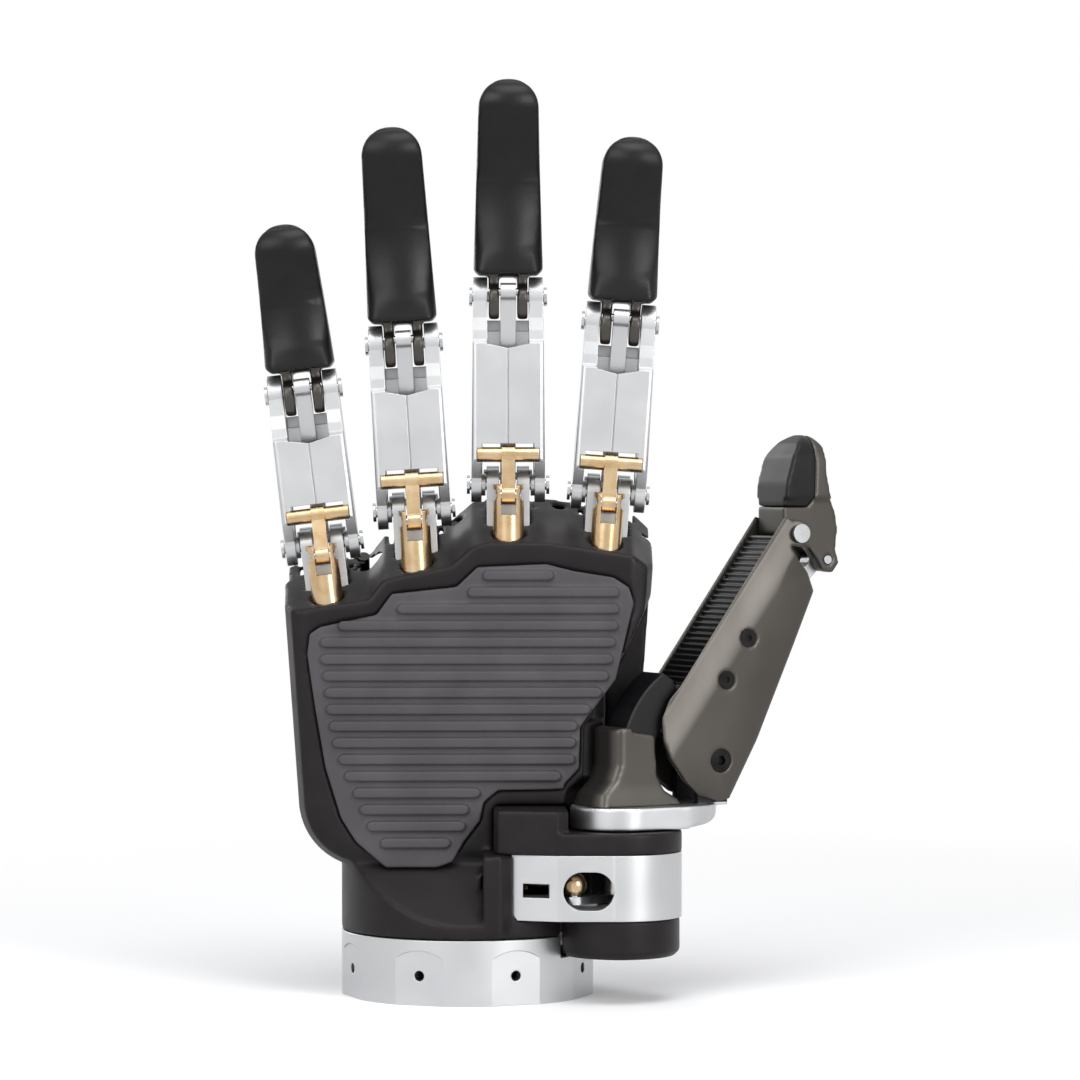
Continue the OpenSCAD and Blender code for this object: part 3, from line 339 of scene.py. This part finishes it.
THUMB_AXIS = (35, -16)           # of the thumb's upright shaft, in mm
THUMB_TURN = math.radians(27)    # of the thumb's plane, away from the palm's
PLATE_TOP = 45                   # upper face of the yoke plate, in mm
PLATE_BARS = ((15.5, 9), (12, 11.3))    # outer centre and radius of the two bars in its outline
PLATE_THINNING = 0.62            # share of its thickness that the rounded end loses below
PLATE_EDGE = 4.5                 # width of that rounding
PLATE_FADE = 5                   # length over which it sets in, outwards from the shorter bar's centre
YOKE_SEAM = 45.3                 # height above which the yoke is black, in mm
COWL_HALF_WIDTH = 6.25
COWL_FRONT = 2                   # outwards, where the rounding of the front corners ends
COWL_FADE = 4                    # length over which it sets in
COWL_CORNER = 3.8                # width of that rounding
COWL_CORNER_DEPTH = 2.2          # how far a corner falls back
BELL_TOP, BELL_HEIGHT = 50.5, 5.5       # where the bell-shaped foot begins, and how tall it is
BELL_SPREAD = 0.16               # share by which the foot grows wider


def to_thumb(point):
    """A place in the thumb's own directions: out along its plane, across it, and up."""
    x, y = point.x - THUMB_AXIS[0], point.y - THUMB_AXIS[1]
    return (x * math.cos(THUMB_TURN) + y * math.sin(THUMB_TURN),
            -x * math.sin(THUMB_TURN) + y * math.cos(THUMB_TURN), point.z)


def from_thumb(out, across, up):
    """The way back from the thumb's own directions."""
    return Vector((THUMB_AXIS[0] + out * math.cos(THUMB_TURN) - across * math.sin(THUMB_TURN),
                   THUMB_AXIS[1] + out * math.sin(THUMB_TURN) + across * math.cos(THUMB_TURN), up))


def quarter_round(distance, width):
    """How far a rounded edge has fallen, from 1 at the edge to 0 at that width from it."""
    return 1 - math.sqrt(1 - (1 - clamp(distance / width)) ** 2)


def round_the_plate(point):
    """A carve that rounds the underside of the yoke plate towards its outer end."""
    out, across, up = to_thumb(point)
    to_end = max(radius - math.hypot(out - centre, across) for centre, radius in PLATE_BARS)
    start = PLATE_BARS[1][0]
    if up < PLATE_TOP and out > start:
        thinning = PLATE_THINNING * quarter_round(to_end, PLATE_EDGE) * min(1.0, (out - start) / PLATE_FADE)
        up = PLATE_TOP - (PLATE_TOP - up) * (1 - thinning)
    return from_thumb(out, across, up)


def flare_the_cowl(point):
    """A carve that rounds the cowl's front corners and spreads its foot like a bell."""
    out, across, up = to_thumb(point)
    front = clamp((COWL_FRONT - out) / COWL_FADE)
    out += COWL_CORNER_DEPTH * front * quarter_round(COWL_HALF_WIDTH - abs(across), COWL_CORNER)
    foot = max(0.0, (BELL_TOP - up) / BELL_HEIGHT)
    return from_thumb(out, across * (1 + BELL_SPREAD * foot * foot), up)


for node_name, piece_name in [("thumb_base_cap", "thumb_foot_cap"), ("thumb_base_cover", "thumb_saddle")]:
    piece = soften(node_name, "palm", piece_name, voxel_mm=0.35, passes=12)
    dress(piece_name, black_nylon)
yoke_plate = soften("thumb_yoke", "thumb_base", "thumb_yoke_plate",
                    voxel_mm=0.3, passes=4, carve=round_the_plate)
dress("thumb_yoke_plate", blasted_aluminium)
two_tone(yoke_plate, Vector((0, 0, YOKE_SEAM)) * MM, Vector((0, 0, 1)), black_nylon)
cowl = soften("thumb_cowl", "thumb_base", "thumb_root_cowl", voxel_mm=0.3, passes=10, carve=flare_the_cowl)
dress("thumb_root_cowl", gunmetal_anodised)

# A thin curved sheet closes the room of the thumb's crank behind the housing.
CRANK_ROOM = 17.4                # outer radius of the room about the thumb's shaft, in mm
CRANK_MIDDLE, CRANK_HEIGHT = 26.6, 11   # middle height and height of the sheet
CRANK_FROM, CRANK_TO = 86, 150   # directions about the shaft between which it runs, in degrees
SHEET_WALL, SHEET_EDGE = 0.6, 0.12      # thickness of the sheet, and its broken edge
bpy.ops.object.select_all(action="DESELECT")
bpy.ops.mesh.primitive_cylinder_add(vertices=144, radius=CRANK_ROOM * MM, depth=CRANK_HEIGHT * MM,
                                    end_fill_type="NOTHING",
                                    location=(THUMB_AXIS[0] * MM, THUMB_AXIS[1] * MM, CRANK_MIDDLE * MM))
crank_sheet = bpy.context.object
crank_sheet.name = "crank_room_sheet"
bpy.ops.object.transform_apply(location=True)
bpy.ops.object.mode_set(mode="EDIT")
bpy.ops.mesh.select_all(action="DESELECT")
bpy.ops.object.mode_set(mode="OBJECT")
for face in crank_sheet.data.polygons:
    side_x, side_y = face.center.x / MM - THUMB_AXIS[0], face.center.y / MM - THUMB_AXIS[1]
    face.select = not CRANK_FROM < math.degrees(math.atan2(side_y, side_x)) < CRANK_TO
bpy.ops.object.mode_set(mode="EDIT")
bpy.ops.mesh.delete(type="FACE")
bpy.ops.object.mode_set(mode="OBJECT")
apply_modifier(crank_sheet, "SOLIDIFY", thickness=SHEET_WALL * MM, offset=-1)
apply_modifier(crank_sheet, "BEVEL", width=SHEET_EDGE * MM, segments=2)
bpy.ops.object.shade_smooth_by_angle(angle=math.radians(35))
dress("crank_room_sheet", black_nylon)
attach(crank_sheet, "palm")


# ---------- Thumb ----------
# A folded-looking anodised shell with a ribbed rubber strip on its inner edge.
# A soft crease runs beside the strip, and the outer edge is rounded over.

SHELL_INNER = 6.6        # half width at which the hollow of the shell begins, in mm
STRIP_START, STRIP_END = Vector((12.6, 71.8)), Vector((38.6, 107.2))    # of the strip's face, out and up
STRIP_ALONG = (STRIP_END - STRIP_START).normalized()
STRIP_INWARDS = Vector((STRIP_ALONG.y, -STRIP_ALONG.x))
OUTER_EDGE = [Vector(place) for place in (
    (17, 47.2), (22.5, 45.5), (25.5, 46), (33, 59.5), (43, 81.5), (48.5, 94), (47, 98))]
CREASE = 7.0             # width of the bevelled band beside the strip, in mm
BAND_FALL = 0.88         # share of the wall by which the band falls at the strip
BAND_CURVE = 1.5         # how fast it falls: 1 would be a straight slope
EDGE_WIDTH = 10.0        # width of the rounding of the outer edge
EDGE_FALL = 0.95         # share of the wall by which that edge falls
RIB_PITCH = 1.55         # of the ribs on the strip
RIB_DEPTH = 0.6
RIB_SKIN = 1.1           # depth from the strip's face within which its points belong to the ribs
RIBS_FROM, RIBS_TO = 1.0, 43.0    # length of the strip that is ribbed
RIB_HALF_WIDTH = 6.2


def distance_to(point, start, end):
    """From a place in the thumb's plane to a straight edge."""
    along = end - start
    share = clamp((point - start).dot(along) / along.length_squared)
    return (point - start - along * share).length


def crown_the_shell(point):
    """A carve for the shell's broad sides: a bevelled band beside the strip, and a rounded outer edge."""
    out, across, up = to_thumb(point)
    if abs(across) <= SHELL_INNER:
        return point
    here = Vector((out, up))
    to_strip = (here - STRIP_START).dot(STRIP_INWARDS)
    to_outside = min(distance_to(here, a, b) for a, b in zip(OUTER_EDGE, OUTER_EDGE[1:]))
    band = clamp(1 - to_strip / CREASE)
    fall = max(BAND_FALL * band ** BAND_CURVE, EDGE_FALL * quarter_round(to_outside, EDGE_WIDTH))
    across = math.copysign(SHELL_INNER + (abs(across) - SHELL_INNER) * (1 - fall), across)
    return from_thumb(out, across, up)


def rib_the_strip(point):
    """A carve that presses the strip's face into fine cross ribs."""
    out, across, up = to_thumb(point)
    offset = Vector((out, up)) - STRIP_START
    along, depth = offset.dot(STRIP_ALONG), offset.dot(STRIP_INWARDS)
    if depth < RIB_SKIN and RIBS_FROM < along < RIBS_TO and abs(across) < RIB_HALF_WIDTH:
        depth = RIB_DEPTH / 2 - RIB_DEPTH / 2 * math.cos(2 * math.pi * along / RIB_PITCH)
        out, up = STRIP_START + (STRIP_ALONG * along + STRIP_INWARDS * depth)
    return from_thumb(out, across, up)


thumb_shell = soften("thumb_shell", "thumb_lower", "thumb_side_shell",
                     voxel_mm=0.35, passes=6, carve=crown_the_shell)
dress("thumb_side_shell", gunmetal_anodised)
thumb_grip = soften("thumb_grip", "thumb_lower", "thumb_grip_strip",
                    voxel_mm=0.25, passes=2, carve=rib_the_strip)
dress("thumb_grip_strip", nitrile_black_and_painted_shade)
tip_shell = soften("thumb_tip_shell", "thumb_tip", "thumb_end_shell", voxel_mm=0.35, passes=14)
dress("thumb_end_shell", gunmetal_anodised)
tip_pad = soften("thumb_tip_pad", "thumb_tip", "thumb_end_pad", voxel_mm=0.35, passes=14)
dress("thumb_end_pad", nitrile_black_and_painted_shade)


# ---------- Connector and inner pieces ----------
# The plug block is moulded in ABS and sits in a notch of the wrist ring. The motors
# with their screw drives, in steel housings, and the board are enclosed by the palm.

# Half matt black, a little greyer than the nylon beside it.
black_abs, shader = start_material("ABS, black, moulded", 0.45)
add_tone(black_abs, shader, "#121213", "#19191a", patch_mm=6)
add_grain(black_abs, shader, size_mm=0.4, depth_mm=0.01, rough_low=0.4, rough_high=0.5, edge_mm=0.15)
dress("connector_housing", black_abs)
dress("finger_actuators", ground_steel)
dress("thumb_actuator", ground_steel)

# Lacquer over copper: a deep glossy green, slightly uneven over the tracks below it.
board_green, shader = start_material("circuit board, solder resist", 0.35)
add_tone(board_green, shader, "#173f2b", "#1f4d36", patch_mm=5)
add_grain(board_green, shader, size_mm=0.6, depth_mm=0.01, rough_low=0.3, rough_high=0.4)
dress("control_board", board_green)


# ---------- Floor, light and camera ----------
# A plain pale floor that the hand stands on, large soft lamps in front and above,
# and a long lens square to the palm. The floor keeps the shadow under the hand.

bpy.ops.object.select_all(action="DESELECT")
bpy.ops.mesh.primitive_plane_add(size=6, location=(0, 0, 0))
floor = bpy.context.object
floor.name = "floor"
LIT_TO, WHITE_FROM = 0.10, 0.45    # distance at which the card's shade starts to fade and has faded, in m
white_card, shader = start_material("matt card, white", 0.9)
shader.inputs["Base Color"].default_value = linear("#f4f4f4")


def seen_or_mirrored(owner):
    """One for a ray from the camera, from a glossy surface or through a clear one."""
    ray = add_node(owner, "ShaderNodeLightPath")
    first = add_node(owner, "ShaderNodeMath", {"operation": "MAXIMUM"})
    second = add_node(owner, "ShaderNodeMath", {"operation": "MAXIMUM"})
    owner.node_tree.links.new(ray.outputs["Is Camera Ray"], first.inputs[0])
    owner.node_tree.links.new(ray.outputs["Is Glossy Ray"], first.inputs[1])
    owner.node_tree.links.new(first.outputs["Value"], second.inputs[0])
    owner.node_tree.links.new(ray.outputs["Is Transmission Ray"], second.inputs[1])
    return second.outputs["Value"]


# Matt white card: near the hand it takes light and shade, and further out it fades to plain white.
place = add_node(white_card, "ShaderNodeTexCoord")
span = add_node(white_card, "ShaderNodeVectorMath", {"operation": "LENGTH"},
                {"Vector": place.outputs["Object"]})
far = add_node(white_card, "ShaderNodeMapRange", {"in:From Min": LIT_TO, "in:From Max": WHITE_FROM},
               {"Value": span.outputs["Value"]})
share = add_node(white_card, "ShaderNodeMath", {"operation": "MULTIPLY"})
white_card.node_tree.links.new(far.outputs["Result"], share.inputs[0])
white_card.node_tree.links.new(seen_or_mirrored(white_card), share.inputs[1])
glow = add_node(white_card, "ShaderNodeEmission", {"in:Color": (1, 1, 1, 1), "in:Strength": 1.0})
surface = add_node(white_card, "ShaderNodeMixShader", {}, {"Fac": share.outputs["Value"]})
white_card.node_tree.links.new(shader.outputs["BSDF"], surface.inputs[1])
white_card.node_tree.links.new(glow.outputs["Emission"], surface.inputs[2])
white_card.node_tree.links.new(surface.outputs["Shader"],
                               white_card.node_tree.nodes["Material Output"].inputs["Surface"])
dress("floor", white_card)

world = bpy.data.worlds.new("studio")
bpy.context.scene.world = world
world.use_nodes = True
room = world.node_tree.nodes["Background"]
room.inputs["Color"].default_value = (0.86, 0.87, 0.90, 1)
room.inputs["Strength"].default_value = 0.55
backdrop = add_node(world, "ShaderNodeBackground", {"in:Color": (1, 1, 1, 1), "in:Strength": 1.0})
mix = add_node(world, "ShaderNodeMixShader", {}, {"Fac": seen_or_mirrored(world)})
world.node_tree.links.new(room.outputs["Background"], mix.inputs[1])
world.node_tree.links.new(backdrop.outputs["Background"], mix.inputs[2])
world.node_tree.links.new(mix.outputs["Shader"], world.node_tree.nodes["World Output"].inputs["Surface"])


def add_lamp(name, place, size, power, aim):
    """A soft rectangular lamp that points at a place."""
    data = bpy.data.lights.new(name, "AREA")
    data.shape = "RECTANGLE"
    data.size, data.size_y = size
    data.energy = power
    lamp = bpy.data.objects.new(name, data)
    bpy.context.scene.collection.objects.link(lamp)
    lamp.location = place
    lamp.rotation_euler = (Vector(aim) - Vector(place)).to_track_quat("-Z", "Y").to_euler()


add_lamp("key lamp", (-0.55, -0.85, 0.55), (0.6, 0.7), 5, (0, 0, 0.11))
add_lamp("side lamp", (0.62, -0.82, 0.34), (0.3, 0.5), 5, (0.03, 0, 0.09))
add_lamp("top lamp", (0.1, -0.35, 0.9), (0.6, 0.5), 4, (0, 0, 0.12))
add_lamp("rear lamp", (-0.62, 0.80, 0.45), (0.35, 0.6), 3, (0, 0, 0.10))

camera_data = bpy.data.cameras.new("camera")
camera_data.sensor_width = 36
camera_data.lens = 140
camera = bpy.data.objects.new("camera", camera_data)
bpy.context.scene.collection.objects.link(camera)
camera.location = (0, -0.985, 0.123)
camera.rotation_euler = (Vector((0.017, 0, 0.106)) - camera.location).to_track_quat("-Z", "Y").to_euler()
bpy.context.scene.camera = camera
bpy.context.scene.view_settings.view_transform = "Standard"
